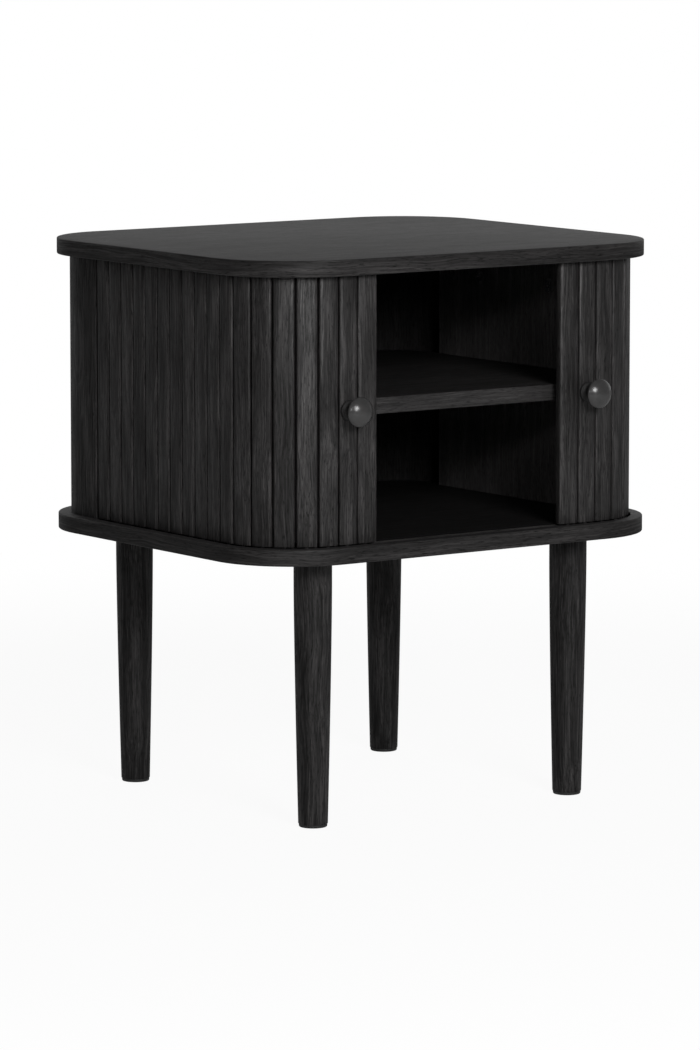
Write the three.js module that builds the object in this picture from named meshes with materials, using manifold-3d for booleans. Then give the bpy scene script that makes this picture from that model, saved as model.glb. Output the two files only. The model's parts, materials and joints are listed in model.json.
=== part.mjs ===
import * as THREE from 'three';
import { mergeVertices } from 'three/addons/utils/BufferGeometryUtils.js';
import Module from 'manifold-3d';

const wasm = await Module();
wasm.setup();

// Bedside table with two tambour doors that slide round its rounded corners.
// Millimetres, +Z up, front towards -Y, origin on the floor under the middle.

// Overall form
const width = 500;
const depth = 436;
const height = 560;
const floorClearance = 265.5;
const boardThickness = 16.2;
const panelCornerRadius = 89;
const overhang = 13;
const panelArris = 1.2;
const seatGap = 0.1;

// Tambour: slats on a cloth, each with a guide pin at both ends
const slatPitch = 21.7;
const slatGap = 1.5;
const slatThickness = 4.6;
const slatBevel = 0.9;
const clothThickness = 0.4;
const clothInset = 4;
const glueLine = 0.1;
const leftDoorInset = 46.4;
const rightDoorInset = 49.5;
const leadSlatExtra = 1.8;
const leadSlatCount = 2;
const turningSlatCount = 10;
const leadRibWidth = 11;
const leadRibDepth = 3.4;
const shoulderClearance = 0.8;
const pinRadius = 1.5;
const pinReach = 6.5;
const pinSetback = 3.5;
const pinRoot = 1;

// Track routed in the top and bottom panels
const trackDepth = 6;
const trackOutside = 1.5;
const trackInside = 4.7;
const trackEndClearance = 3;

// Carcass behind the tambour
const sidePanelClearance = 1.6;
const rearStraight = 25;
const rearCornerThickness = 12;
const rearCornerGap = 1.5;
const shelfFrontSetback = 18.1;
const shelfCornerRadius = 44;

// Shelf pins and cam locks
const shelfPinRadius = 2.5;
const shelfPinLength = 18;
const shelfPinBoreDepth = 9;
const shelfPinInset = 30;
const camRadius = 7.5;
const camThickness = 12;
const camDrop = 39;
const camInset = 70;
const boreClearance = 0.1;

// Legs
const legInsetX = 93.2;
const legInsetY = 60.2;
const legTopRadius = 18.8;
const legFootRadius = 14.5;
const legStraight = 24;
const legFootChamfer = 1.5;
const legTaperPower = 1.35;
const legPlateRadius = 27.5;
const legPlateThickness = 2;
const legStudRadius = 4;
const legStudLength = 11;
const legStudBoreDepth = 10;
const glideRadius = 11.5;
const glideThickness = 3;

// Knobs and their screws
const knobSlatIndex = 1;
const knobCapRadius = 14.7;
const knobBaseRadius = 10.2;
const knobNeckRadius = 6.5;
const knobLength = 26;
const knobBaseThickness = 3;
const knobNeckEnd = 11;
const knobRimStart = 18.5;
const knobRimEnd = 19.5;
const knobScrewRadius = 2;
const knobScrewHeadRadius = 4;
const knobScrewHeadThickness = 2;
const knobScrewDepth = 12;
const knobBoreDepth = 14;

// Smoothness of round forms
const cornerSegments = 12;
const legSegments = 20;
const legTaperSteps = 8;
const knobSegments = 24;
const domeSteps = 5;
const smallSegments = 10;

// Places that follow from the sizes above
const bodyX = width / 2 - overhang;
const bodyY = depth / 2 - overhang;
const bodyRadius = panelCornerRadius - overhang;
const cornerX = bodyX - bodyRadius;
const cornerY = bodyY - bodyRadius;
const flexRadius = bodyRadius - slatThickness;
const bottomTop = floorClearance + boardThickness;
const topBottom = height - boardThickness;
const uprightBottom = bottomTop + seatGap;
const uprightTop = topBottom - seatGap;
const middleZ = (bottomTop + topBottom) / 2;
const slatBottom = bottomTop + shoulderClearance;
const slatTop = topBottom - shoulderClearance;
const sideOuterX = bodyX - rearCornerThickness - sidePanelClearance;
const sideInnerX = sideOuterX - boardThickness;
const sidePanelEnd = cornerY;
const furthestLead = Math.max(doorLead(-1), doorLead(1));
const cornerArc = flexRadius * Math.PI / 2;
const sideRun = 2 * cornerY - rearStraight;
const slatCount = Math.floor((cornerX + cornerArc + sideRun - furthestLead) / slatPitch);
const rearEdgeY = flexPoint(furthestLead + slatCount * slatPitch).y + rearCornerGap;

// Colours read from the photograph
const oak = { color: 0x2c2b2b, roughness: 0.62, metalness: 0 };
const oakSlat = { color: 0x2e2d2d, roughness: 0.6, metalness: 0 };
const oakLeg = { color: 0x252424, roughness: 0.6, metalness: 0 };
const blackBoard = { color: 0x191818, roughness: 0.7, metalness: 0 };
const cloth = { color: 0x151515, roughness: 0.95, metalness: 0 };
const lacquer = { color: 0x242424, roughness: 0.35, metalness: 0 };
const steel = { color: 0x8a8a8c, roughness: 0.4, metalness: 0.9 };
const blackSteel = { color: 0x1c1c1d, roughness: 0.5, metalness: 0.7 };
const plastic = { color: 0x3a3a3b, roughness: 0.5, metalness: 0 };

const part = new THREE.Group();
const table = new THREE.Group();
part.add(table);

// The knobs stand out in front of the top, so the origin lies in the middle of both together
table.position.y = (knobLength + seatGap - overhang) / 2;

// Where a door starts on the flex line: the two doors stand open by slightly different amounts
function doorLead(sx) {
  return cornerX - (sx < 0 ? leftDoorInset : rightDoorInset);
}

// Point on the line where the tambour flexes, at a distance along it from the middle of the front
function flexPoint(run) {
  if (run <= cornerX) {
    return new THREE.Vector2(-run, -cornerY - flexRadius);
  }
  if (run <= cornerX + cornerArc) {
    const turn = (run - cornerX) / flexRadius;
    return new THREE.Vector2(-cornerX - flexRadius * Math.sin(turn), -cornerY - flexRadius * Math.cos(turn));
  }
  return new THREE.Vector2(-cornerX - flexRadius, -cornerY + run - cornerX - cornerArc);
}

function solid(geometry) {
  const bare = geometry.index ? geometry.toNonIndexed() : geometry.clone();
  bare.deleteAttribute('normal');
  bare.deleteAttribute('uv');
  const merged = mergeVertices(bare);
  return new wasm.Manifold(new wasm.Mesh({
    numProp: 3,
    vertProperties: new Float32Array(merged.attributes.position.array),
    triVerts: new Uint32Array(merged.index.array),
  }));
}

function surface(body) {
  const mesh = body.getMesh();
  const geometry = new THREE.BufferGeometry();
  geometry.setAttribute('position', new THREE.BufferAttribute(mesh.vertProperties, mesh.numProp));
  geometry.setIndex(new THREE.BufferAttribute(mesh.triVerts, 1));
  geometry.computeVertexNormals();
  return geometry;
}

function piece(name, geometry, finish, parent = table) {
  const mesh = new THREE.Mesh(geometry, new THREE.MeshStandardMaterial(finish));
  mesh.name = name;
  parent.add(mesh);
  return mesh;
}

// Upright prism on a plan outline
function prism(shape, low, high, arris = 0) {
  const geometry = new THREE.ExtrudeGeometry(shape, {
    depth: high - low - 2 * arris,
    curveSegments: cornerSegments,
    bevelEnabled: arris > 0,
    bevelThickness: arris,
    bevelSize: arris,
    bevelOffset: -arris,
    bevelSegments: 2,
  });
  return geometry.translate(0, 0, low + arris);
}

function outline(points) {
  return new THREE.Shape(points.map(([x, y]) => new THREE.Vector2(x, y)));
}

function rod(radius, from, to, axis, segments = smallSegments) {
  const geometry = new THREE.CylinderGeometry(radius, radius, to - from, segments);
  geometry.translate(0, (from + to) / 2, 0);
  if (axis === 'z') {
    geometry.rotateX(Math.PI / 2);
  }
  if (axis === 'x') {
    geometry.rotateZ(-Math.PI / 2);
  }
  return geometry;
}

function turned(profile, segments) {
  const geometry = new THREE.LatheGeometry(profile.map(([r, h]) => new THREE.Vector2(r, h)), segments);
  return geometry.rotateX(Math.PI / 2);
}

function roundedRectangle(halfX, front, back, radius) {
  const shape = new THREE.Shape();
  shape.moveTo(-halfX + radius, front);
  shape.lineTo(halfX - radius, front);
  shape.absarc(halfX - radius, front + radius, radius, -Math.PI / 2, 0);
  shape.lineTo(halfX, back - radius);
  shape.absarc(halfX - radius, back - radius, radius, 0, Math.PI / 2);
  shape.lineTo(-halfX + radius, back);
  shape.absarc(-halfX + radius, back - radius, radius, Math.PI / 2, Math.PI);
  shape.lineTo(-halfX, front + radius);
  shape.absarc(-halfX + radius, front + radius, radius, Math.PI, 3 * Math.PI / 2);
  return shape;
}

// Band of the track: from one rear end round both front corners to the other
function trackBand() {
  const outer = bodyRadius + trackOutside;
  const inner = flexRadius - trackInside;
  const end = rearEdgeY - trackEndClearance;
  const shape = new THREE.Shape();
  shape.moveTo(-cornerX - outer, end);
  shape.lineTo(-cornerX - outer, -cornerY);
  shape.absarc(-cornerX, -cornerY, outer, Math.PI, 3 * Math.PI / 2);
  shape.lineTo(cornerX, -cornerY - outer);
  shape.absarc(cornerX, -cornerY, outer, -Math.PI / 2, 0);
  shape.lineTo(cornerX + outer, end);
  shape.lineTo(cornerX + inner, end);
  shape.lineTo(cornerX + inner, -cornerY);
  shape.absarc(cornerX, -cornerY, inner, 0, -Math.PI / 2, true);
  shape.lineTo(-cornerX, -cornerY - inner);
  shape.absarc(-cornerX, -cornerY, inner, 3 * Math.PI / 2, Math.PI, true);
  shape.lineTo(-cornerX - inner, end);
  return shape;
}

const legSpots = [
  ['front_left', -1, -1],
  ['front_right', 1, -1],
  ['back_left', -1, 1],
  ['back_right', 1, 1],
];
const legX = width / 2 - legInsetX;
const legY = depth / 2 - legInsetY;

function addPanels() {
  const board = roundedRectangle(width / 2, -depth / 2, depth / 2, panelCornerRadius);
  const top = solid(prism(board, topBottom, height, panelArris))
    .subtract(solid(prism(trackBand(), topBottom - trackDepth, topBottom + trackDepth)));
  piece('top_panel', surface(top), oak);

  let bottom = solid(prism(board, floorClearance, bottomTop, panelArris))
    .subtract(solid(prism(trackBand(), bottomTop - trackDepth, bottomTop + trackDepth)));
  for (const [, sideX, sideY] of legSpots) {
    const bore = rod(legStudRadius + boreClearance, -legStudBoreDepth, legStudBoreDepth, 'z', legSegments);
    bore.translate(sideX * legX, sideY * legY, floorClearance);
    bottom = bottom.subtract(solid(bore));
  }
  piece('bottom_panel', surface(bottom), oak);
}

function addSidePanels() {
  for (const [side, sx] of [['left', -1], ['right', 1]]) {
    const low = Math.min(sx * sideInnerX, sx * sideOuterX);
    const high = Math.max(sx * sideInnerX, sx * sideOuterX);
    const plan = outline([
      [low, -sidePanelEnd],
      [high, -sidePanelEnd],
      [high, sidePanelEnd],
      [low, sidePanelEnd],
    ]);
    let panel = solid(prism(plan, uprightBottom, uprightTop));
    for (const [place, sy] of [['front', -1], ['back', 1]]) {
      const camY = sy * (sidePanelEnd - camInset);
      const pinY = sy * (sidePanelEnd - shelfPinInset);
      const camBore = rod(camRadius + boreClearance, -camThickness, camThickness, 'x', knobSegments);
      camBore.translate(sx * sideInnerX, camY, topBottom - camDrop);
      const pinBore = rod(shelfPinRadius + boreClearance, -shelfPinBoreDepth, shelfPinBoreDepth, 'x');
      pinBore.translate(sx * sideInnerX, pinY, shelfPinZ());
      panel = panel.subtract(solid(camBore)).subtract(solid(pinBore));

      const camBody = rod(camRadius, 0, camThickness, 'x', knobSegments);
      const cam = piece(`${side}_${place}_cam_lock`, camBody, steel);
      const camStart = sx > 0 ? sideInnerX : -sideInnerX - camThickness;
      cam.position.set(camStart, camY, topBottom - camDrop);
      const pin = piece(`${side}_${place}_shelf_pin`, rod(shelfPinRadius, 0, shelfPinLength, 'x'), steel);
      const pinInnerEnd = sideInnerX + shelfPinBoreDepth - shelfPinLength;
      const pinStart = sx > 0 ? pinInnerEnd : -pinInnerEnd - shelfPinLength;
      pin.position.set(pinStart, pinY, shelfPinZ());
    }
    piece(`${side}_side_panel`, surface(panel), blackBoard);
  }
}

function shelfPinZ() {
  return middleZ - boardThickness / 2 - shelfPinRadius - seatGap;
}

function addShelf() {
  const front = -bodyY + shelfFrontSetback;
  const back = bodyY - boardThickness - seatGap;
  const shape = roundedRectangle(sideInnerX - seatGap, front, back, shelfCornerRadius);
  piece('shelf', prism(shape, middleZ - boardThickness / 2, middleZ + boardThickness / 2), oak);
}

function addRear() {
  const edgeX = cornerX - seatGap;
  const back = outline([
    [-edgeX, bodyY - boardThickness],
    [edgeX, bodyY - boardThickness],
    [edgeX, bodyY],
    [-edgeX, bodyY],
  ]);
  piece('back_panel', prism(back, uprightBottom, uprightTop), blackBoard);
  const inner = bodyRadius - rearCornerThickness;
  for (const [side, sx] of [['left', -1], ['right', 1]]) {
    const shape = new THREE.Shape();
    const outerStart = sx < 0 ? Math.PI : 0;
    shape.moveTo(sx * bodyX, rearEdgeY);
    shape.lineTo(sx * bodyX, cornerY);
    shape.absarc(sx * cornerX, cornerY, bodyRadius, outerStart, Math.PI / 2, sx < 0);
    shape.lineTo(sx * cornerX, cornerY + inner);
    shape.absarc(sx * cornerX, cornerY, inner, Math.PI / 2, outerStart, sx > 0);
    shape.lineTo(sx * (cornerX + inner), rearEdgeY);
    piece(`${side}_rear_corner`, prism(shape, uprightBottom, uprightTop), oakSlat);
  }
}

// Slat section across its width: face outwards along +Y, bevelled on its long face edges.
// The lead slat is a little wider than the others and carries a rib at its free edge.
function slatSection(back, leadSide = 0) {
  const half = (slatPitch - slatGap) / 2;
  const low = leadSide < 0 ? -half - leadSlatExtra : -half;
  const high = leadSide > 0 ? half + leadSlatExtra : half;
  const rib = leadSide * (half + leadSlatExtra - leadRibWidth);
  const points = [[low, leadSide < 0 ? -leadRibDepth : back]];
  if (leadSide !== 0) {
    points.push([rib, leadSide < 0 ? -leadRibDepth : back]);
    points.push([rib, leadSide < 0 ? back : -leadRibDepth]);
  }
  points.push([high, leadSide > 0 ? -leadRibDepth : back]);
  points.push([high, slatThickness - slatBevel]);
  points.push([high - slatBevel, slatThickness]);
  points.push([low + slatBevel, slatThickness]);
  points.push([low, slatThickness - slatBevel]);
  return outline(points);
}

function slatSolid(back, leadSide = 0) {
  let body = solid(prism(slatSection(back, leadSide), slatBottom, slatTop));
  const pinRuns = [[slatBottom - pinReach, slatBottom + pinRoot], [slatTop - pinRoot, slatTop + pinReach]];
  for (const [from, to] of pinRuns) {
    const pin = rod(pinRadius, from, to, 'z').translate(0, slatThickness - pinSetback, 0);
    body = body.add(solid(pin));
  }
  return body;
}

// Place and heading of a slat on the flex line, for the left door or mirrored for the right one
function slatPlace(index, sx) {
  const near = flexPoint(doorLead(sx) + index * slatPitch);
  const far = flexPoint(doorLead(sx) + (index + 1) * slatPitch);
  const middle = near.clone().add(far).multiplyScalar(0.5);
  const heading = Math.atan2(far.y - near.y, far.x - near.x);
  return { x: -sx * middle.x, y: middle.y, turn: -sx * heading };
}

function placeSlat(object, place) {
  object.position.set(place.x, place.y, 0);
  object.rotation.z = place.turn;
}

function knobProfile() {
  const points = [
    [knobScrewRadius + boreClearance, knobBoreDepth],
    [knobScrewRadius + boreClearance, 0],
    [knobBaseRadius, 0],
    [knobBaseRadius, knobBaseThickness],
    [knobNeckRadius, knobBaseThickness + knobBaseRadius - knobNeckRadius],
    [knobNeckRadius, knobNeckEnd],
    [knobCapRadius, knobRimStart],
    [knobCapRadius, knobRimEnd],
  ];
  const rise = knobLength - knobRimEnd;
  const domeRadius = (knobCapRadius ** 2 + rise ** 2) / (2 * rise);
  const domeLean = Math.asin(knobCapRadius / domeRadius);
  for (let step = domeSteps - 1; step > 0; step -= 1) {
    const lean = domeLean * step / domeSteps;
    points.push([domeRadius * Math.sin(lean), knobLength - domeRadius * (1 - Math.cos(lean))]);
  }
  return [[0, knobBoreDepth], ...points, [0, knobLength]];
}

function addDoor(side, sx) {
  const door = new THREE.Group();
  table.add(door);

  for (let index = 0; index < leadSlatCount + turningSlatCount; index += 1) {
    const glued = index < leadSlatCount;
    let body = slatSolid(glued ? glueLine : -clothThickness, index === 0 ? sx : 0);
    if (index === knobSlatIndex) {
      body = body.subtract(solid(knobBore()));
    }
    const slat = piece(`${side}_slat_${String(index + 1).padStart(2, '0')}`, surface(body), oakSlat, door);
    placeSlat(slat, slatPlace(index, sx));
  }

  piece(`${side}_lead_cloth`, leadCloth(sx), cloth, door);
  addTail(side, sx, door);
  addKnob(side, slatPlace(knobSlatIndex, sx), door);
}

function knobBore() {
  const bore = rod(knobScrewRadius + boreClearance, -slatThickness, 2 * slatThickness, 'y');
  return bore.translate(0, 0, middleZ);
}

// Cloth behind the lead slats, following their bend
function leadCloth(sx) {
  const lead = doorLead(sx);
  const start = lead + slatGap / 2 - leadSlatExtra + leadRibWidth + glueLine;
  const end = lead + leadSlatCount * slatPitch - slatGap / 2;
  const runs = [start];
  for (let index = 1; index < leadSlatCount; index += 1) {
    runs.push(lead + index * slatPitch);
  }
  runs.push(end);
  const line = runs.map((run, index) => {
    if (index < runs.length - 1) {
      return flexPoint(run);
    }
    const near = flexPoint(lead + (leadSlatCount - 1) * slatPitch);
    const far = flexPoint(lead + leadSlatCount * slatPitch);
    return near.clone().lerp(far, 1 - slatGap / 2 / slatPitch);
  });
  const inner = line.map((point, index) => {
    const before = line[Math.max(index - 1, 0)];
    const after = line[Math.min(index + 1, line.length - 1)];
    const along = after.clone().sub(before).normalize();
    return point.clone().add(new THREE.Vector2(along.y, -along.x).multiplyScalar(clothThickness));
  });
  const ring = [...line, ...inner.reverse()].map((point) => [-sx * point.x, point.y]);
  let body = solid(prism(outline(ring), slatBottom + clothInset, slatTop - clothInset));
  const bore = knobBore();
  const place = slatPlace(knobSlatIndex, sx);
  bore.translate(place.x, place.y, 0);
  body = body.subtract(solid(bore));
  return surface(body);
}

// Slats of the straight side run with their cloth, as one piece
function addTail(side, sx, door) {
  const first = leadSlatCount + turningSlatCount;
  const place = slatPlace(first, sx);
  const count = slatCount - first;
  const half = (slatPitch - slatGap) / 2;
  const far = (count - 1) * slatPitch + half;
  const low = sx < 0 ? -half : -far;
  const high = sx < 0 ? far : half;
  const strip = outline([[low, -clothThickness], [high, -clothThickness], [high, 0], [low, 0]]);
  let body = solid(prism(strip, slatBottom + clothInset, slatTop - clothInset));
  for (let index = 0; index < count; index += 1) {
    const slat = slatSolid(0).translate([-sx * index * slatPitch, 0, 0]);
    body = body.add(slat);
  }
  placeSlat(piece(`${side}_tail_slats`, surface(body), oakSlat, door), place);
}

function addKnob(side, place, door) {
  const knob = turned(knobProfile(), knobSegments).rotateX(Math.PI / 2);
  const holder = new THREE.Group();
  holder.position.set(place.x, -bodyY - seatGap, middleZ);
  door.add(holder);
  piece(`${side}_knob`, knob, lacquer, holder);

  const screwEnd = knobScrewHeadThickness + clothThickness + slatThickness + knobScrewDepth;
  const screw = turned([
    [0, 0],
    [knobScrewHeadRadius, 0],
    [knobScrewHeadRadius, knobScrewHeadThickness],
    [knobScrewRadius, knobScrewHeadThickness],
    [knobScrewRadius, screwEnd],
    [0, screwEnd],
  ], smallSegments).rotateX(Math.PI / 2);
  screw.translate(0, slatThickness + clothThickness + knobScrewHeadThickness + seatGap, 0);
  piece(`${side}_knob_screw`, screw, steel, holder);
}

function legProfile() {
  const top = floorClearance - legPlateThickness - 2 * seatGap;
  const taper = top - legStraight;
  const foot = glideThickness + seatGap;
  const points = [[0, foot], [legFootRadius - legFootChamfer, foot]];
  for (let step = 0; step <= legTaperSteps; step += 1) {
    const z = foot + legFootChamfer + (taper - foot - legFootChamfer) * step / legTaperSteps;
    const share = (1 - z / taper) ** legTaperPower;
    points.push([legTopRadius - (legTopRadius - legFootRadius) * share, z]);
  }
  const studEnd = top + legStudLength;
  points.push([legTopRadius, top], [legStudRadius, top], [legStudRadius, studEnd], [0, studEnd]);
  return points;
}

function addLegs() {
  for (const [spot, sideX, sideY] of legSpots) {
    const place = new THREE.Group();
    place.position.set(sideX * legX, sideY * legY, 0);
    table.add(place);
    piece(`${spot}_leg`, turned(legProfile(), legSegments), oakLeg, place);

    const plateTop = floorClearance - seatGap;
    const plateBottom = plateTop - legPlateThickness;
    const plate = turned([
      [legStudRadius + boreClearance, plateBottom],
      [legPlateRadius, plateBottom],
      [legPlateRadius, plateTop],
      [legStudRadius + boreClearance, plateTop],
      [legStudRadius + boreClearance, plateBottom],
    ], legSegments);
    piece(`${spot}_leg_plate`, plate, blackSteel, place);
    piece(`${spot}_glide`, rod(glideRadius, 0, glideThickness, 'z', legSegments), plastic, place);
  }
}

addPanels();
addSidePanels();
addShelf();
addRear();
addDoor('left', -1);
addDoor('right', 1);
addLegs();

export default part;
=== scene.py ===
import json
import math
import bmesh
import bpy
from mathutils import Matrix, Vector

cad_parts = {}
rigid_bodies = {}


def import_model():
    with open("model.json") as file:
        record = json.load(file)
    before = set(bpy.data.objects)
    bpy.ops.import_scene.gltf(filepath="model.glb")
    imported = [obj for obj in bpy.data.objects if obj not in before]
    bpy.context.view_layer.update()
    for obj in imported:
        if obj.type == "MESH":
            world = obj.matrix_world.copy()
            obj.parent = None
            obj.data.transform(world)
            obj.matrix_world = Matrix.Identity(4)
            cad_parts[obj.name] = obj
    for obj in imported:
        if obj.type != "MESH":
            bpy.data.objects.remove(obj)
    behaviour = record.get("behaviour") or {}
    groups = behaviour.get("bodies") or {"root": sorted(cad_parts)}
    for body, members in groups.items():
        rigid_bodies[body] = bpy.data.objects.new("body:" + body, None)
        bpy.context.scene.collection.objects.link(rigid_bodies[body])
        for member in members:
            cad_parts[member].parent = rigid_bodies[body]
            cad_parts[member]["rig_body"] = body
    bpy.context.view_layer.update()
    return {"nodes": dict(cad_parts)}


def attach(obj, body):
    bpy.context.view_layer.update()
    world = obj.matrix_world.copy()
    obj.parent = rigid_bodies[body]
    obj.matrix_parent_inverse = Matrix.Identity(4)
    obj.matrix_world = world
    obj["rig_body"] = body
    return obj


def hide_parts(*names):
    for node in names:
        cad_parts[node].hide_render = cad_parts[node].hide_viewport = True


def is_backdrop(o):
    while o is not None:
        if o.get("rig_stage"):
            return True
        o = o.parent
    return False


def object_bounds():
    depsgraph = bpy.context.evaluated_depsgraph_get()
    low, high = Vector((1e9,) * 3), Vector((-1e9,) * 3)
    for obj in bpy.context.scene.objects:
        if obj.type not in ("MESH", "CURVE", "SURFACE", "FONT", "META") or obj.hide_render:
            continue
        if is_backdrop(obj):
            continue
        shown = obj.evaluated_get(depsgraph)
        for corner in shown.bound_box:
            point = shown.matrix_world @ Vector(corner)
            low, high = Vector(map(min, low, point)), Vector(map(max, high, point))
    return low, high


# Bedside table in black-stained oak, with two tambour doors, one shelf and turned legs.
# Metres, front towards -Y, floor at zero.

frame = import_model()
nodes = frame["nodes"]
print("frame loaded:", len(nodes), "nodes")

mm = 0.001
tiny = 0.01 * mm  # closer than this counts as the same place
mergeWithin = 0.001 * mm
smoothAngle = math.radians(35)  # sharper edges keep their crease
sides = {"left": -1, "right": 1}

table = {
    "width": 500 * mm,
    "depth": 436 * mm,
    "height": 560 * mm,
    "floorClearance": 265.5 * mm,
    "board": 16.2 * mm,
    "cornerRadius": 89 * mm,
    "overhang": 13 * mm,
    "arris": 1.2 * mm,
    "seat": 0.1 * mm,
    "shift": 6.55 * mm,  # the knobs stand out in front, so the middle of the top lies behind the origin
    "cornerSteps": 24,
    "arrisSteps": 3,
}

tambour = {
    "pitch": 21.7 * mm,
    "gap": 1.5 * mm,
    "thickness": 4.6 * mm,
    "easeWidth": 3.2 * mm,  # towards its edges the face falls back a little, which gives the slats their soft lines
    "easeDepth": 0.85 * mm,
    "easeRound": 0.7 * mm,
    "faceRound": 1.2 * mm,
    "edgeRound": 0.35 * mm,
    "cloth": 0.4 * mm,
    "clothInset": 4 * mm,
    "clothReach": 0.65 * mm,  # past the slat on both sides, so that the cloth closes the gap
    "glueLine": 0.1 * mm,
    "leftInset": 46.4 * mm,
    "rightInset": 49.5 * mm,
    "leadExtra": 1.8 * mm,  # the lead slat is a little wider than the others
    "shoulder": 0.8 * mm,
    "count": 18,
    "leadCount": 2,
    "turningCount": 10,
    "ribWidth": 11 * mm,
    "ribDepth": 3.4 * mm,
    "pinRadius": 1.5 * mm,
    "pinReach": 6.5 * mm,
    "pinRoot": 1 * mm,
    "pinSetback": 3.5 * mm,
    "pinSides": 20,
    "toneRange": 0.06,
    "toneStart": {-1: 3, 1: 40},  # by side
    "toneHash": (12.9898, 43758.5453),
    "sharp": 0.8,  # edges that turn by more than this, in radians, get the small arris
}

bodyX = table["width"] / 2 - table["overhang"]
bodyY = table["depth"] / 2 - table["overhang"]
bodyRadius = table["cornerRadius"] - table["overhang"]
cornerX = bodyX - bodyRadius
cornerY = bodyY - bodyRadius
flexRadius = bodyRadius - tambour["thickness"]
bottomTop = table["floorClearance"] + table["board"]
topBottom = table["height"] - table["board"]
middleZ = (bottomTop + topBottom) / 2
slatBottom = bottomTop + tambour["shoulder"]
slatTop = topBottom - tambour["shoulder"]
leads = {-1: cornerX - tambour["leftInset"], 1: cornerX - tambour["rightInset"]}  # by side
cornerArc = flexRadius * math.pi / 2


# Edit-mode helpers

def deselect():
    if bpy.context.object and bpy.context.object.mode != "OBJECT":
        bpy.ops.object.mode_set(mode="OBJECT")
    bpy.ops.object.select_all(action="DESELECT")


def choose(piece):
    deselect()
    piece.select_set(True)
    bpy.context.view_layer.objects.active = piece


def openEdit(piece, kind="EDGE"):
    choose(piece)
    bpy.ops.object.mode_set(mode="EDIT")
    bpy.ops.mesh.select_mode(type=kind)
    bpy.ops.mesh.select_all(action="DESELECT")


def pick(piece, kind, test):  # selects the edges, faces or verts that pass the test, in edit mode
    bpy.ops.mesh.select_all(action="DESELECT")
    shape = bmesh.from_edit_mesh(piece.data)
    for part in getattr(shape, kind):
        if test(part):
            part.select_set(True)
    bmesh.update_edit_mesh(piece.data)


def smooth(piece):
    choose(piece)
    bpy.ops.object.shade_smooth_by_angle(angle=smoothAngle)


def mendFaces():
    bpy.ops.mesh.select_all(action="SELECT")
    bpy.ops.mesh.remove_doubles(threshold=mergeWithin)
    bpy.ops.mesh.normals_make_consistent(inside=False)


def closeEdit(piece):
    mendFaces()
    smooth(piece)


def settle(piece):  # the place goes into the mesh
    choose(piece)
    bpy.ops.object.transform_apply(location=True, rotation=True, scale=True)


def addBlock(name, low, high):
    deselect()
    middle = [(a + b) / 2 for a, b in zip(low, high)]
    bpy.ops.mesh.primitive_cube_add(size=1, location=middle)
    block = bpy.context.object
    block.name = name
    block.scale = [b - a for a, b in zip(low, high)]
    settle(block)
    return block


def addRod(radius, length, place, turned=(0, 0, 0), sideCount=32):
    deselect()
    bpy.ops.mesh.primitive_cylinder_add(vertices=sideCount, radius=radius, depth=length,
                                        location=place, rotation=turned)
    return bpy.context.object


def isUpright(edge):
    a, b = (v.co for v in edge.verts)
    return abs(a.z - b.z) > 10 * tiny and (a.xy - b.xy).length < tiny


def facesUpOrDown(face):
    return abs(face.normal.z) > 0.7


def bevelPicked(offset, segments):
    bpy.ops.mesh.bevel(offset=offset, segments=segments, affect="EDGES", clamp_overlap=False)


def cut(piece, cutter, operation="DIFFERENCE"):
    choose(piece)
    boolean = piece.modifiers.new("cut", "BOOLEAN")
    boolean.operation = operation
    boolean.solver = "EXACT"
    boolean.object = cutter
    bpy.ops.object.modifier_apply(modifier=boolean.name)
    bpy.data.objects.remove(cutter)


def duplicate(piece, name):
    copy = piece.copy()
    copy.data = piece.data.copy()
    copy.name = name
    bpy.context.scene.collection.objects.link(copy)
    return copy


def copyTo(blank, name, place, turned=(0, 0, 0)):
    piece = duplicate(blank, name)
    piece.location = place
    piece.rotation_euler = turned
    settle(piece)
    return piece


def discard(*spares):
    for spare in spares:
        bpy.data.objects.remove(spare)


def joinPieces(pieces):
    deselect()
    for piece in pieces:
        piece.select_set(True)
    bpy.context.view_layer.objects.active = pieces[0]
    bpy.ops.object.join()
    return pieces[0]


def turn(name, profile, sideCount=64):  # a turned piece on the Z axis, from (radius, height) pairs
    deselect()
    radius, level = profile[0]
    bpy.ops.mesh.primitive_circle_add(vertices=sideCount, radius=radius, fill_type="NGON", location=(0, 0, level))
    piece = bpy.context.object
    piece.name = name
    settle(piece)
    openEdit(piece, "FACE")
    bpy.ops.mesh.select_all(action="SELECT")
    for newRadius, newLevel in profile[1:]:
        bpy.ops.mesh.extrude_region_move(TRANSFORM_OT_translate={"value": (0, 0, newLevel - level)})
        factor = newRadius / radius
        bpy.ops.transform.resize(value=(factor, factor, 1), center_override=(0, 0, newLevel))
        radius, level = newRadius, newLevel
    closeEdit(piece)
    return piece


def rim(radius, level, steps, way=1):  # points of a rounded rim, from (inset, rise) pairs
    return [(radius - inset, level + way * rise) for inset, rise in steps]


def standFor(piece, node, slotName, *materials):
    for material in materials:
        piece.data.materials.append(material)
    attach(piece, nodes[node]["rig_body"])
    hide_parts(node)
    return piece


# Materials

def colour(hexText):
    values = [int(hexText[i:i + 2], 16) / 255 for i in (1, 3, 5)]
    linear = [v / 12.92 if v <= 0.04045 else ((v + 0.055) / 1.055) ** 2.4 for v in values]
    return (*linear, 1)


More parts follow.
